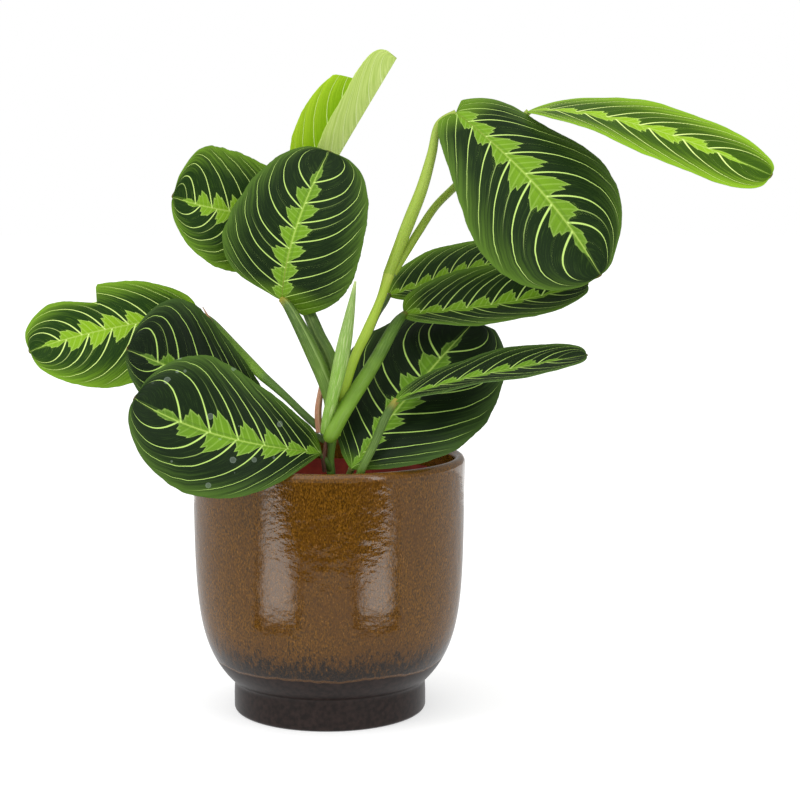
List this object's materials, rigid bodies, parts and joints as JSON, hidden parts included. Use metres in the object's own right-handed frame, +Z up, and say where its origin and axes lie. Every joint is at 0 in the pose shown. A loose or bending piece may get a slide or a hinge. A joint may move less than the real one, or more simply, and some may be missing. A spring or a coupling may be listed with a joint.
{
  "type": "potted prayer plant",
  "caption": "Prayer plant with broad patterned oval leaves on slender jointed stems, standing in soil in a plastic growing pot inside a footed glazed ceramic cover pot.",
  "frame": {"origin": "centre of the cover pot's flat underside", "axes": "+Z up along the pot's axis, -Y towards the side that most leaves face, +X to the right as seen from that side"},
  "size_m": [0.3812, 0.1598, 0.3392],
  "materials": {
    "glaze": "speckled amber-brown semi-gloss glaze over a bare dark clay foot",
    "plastic": "thin satin plastic, red-brown",
    "soil": "damp crumbly potting soil",
    "leaf": "satin dark green with lime midrib band and pale veins",
    "young_leaf": "satin pale yellow-green",
    "stem": "smooth satin yellow-green",
    "sheath": "finely ribbed satin green",
    "dried": "dry papery tan"
  },
  "bodies": {
    "root": {"pot": "glaze", "nursery_pot": "plastic", "soil": "soil", "base_stem": "stem", "main_stem": "stem", "left_stem": "stem", "stalk_right_middle": "sheath", "stalk_centre_left": "sheath", "pair_sheath": "sheath", "new_leaf_spear": "young_leaf", "dried_sheath": "dried", "stalk_upper_left": "sheath", "stalk_top_young": "sheath", "stalk_right_big": "sheath", "stalk_far_right": "stem", "stalk_right_back": "sheath", "stalk_far_left": "sheath", "stalk_left_middle": "sheath", "stalk_front_left": "sheath", "stalk_right_lower": "sheath", "stalk_right_narrow": "sheath", "leaf_front_left": "leaf", "leaf_left_middle": "leaf", "leaf_far_left": "leaf", "leaf_centre_left": "leaf", "leaf_upper_left": "leaf", "leaf_top_young": "young_leaf", "leaf_right_big": "leaf", "leaf_far_right": "leaf", "leaf_right_back": "leaf", "leaf_right_middle": "leaf", "leaf_right_lower": "leaf", "leaf_right_narrow": "leaf"}
  },
  "joints": []
}
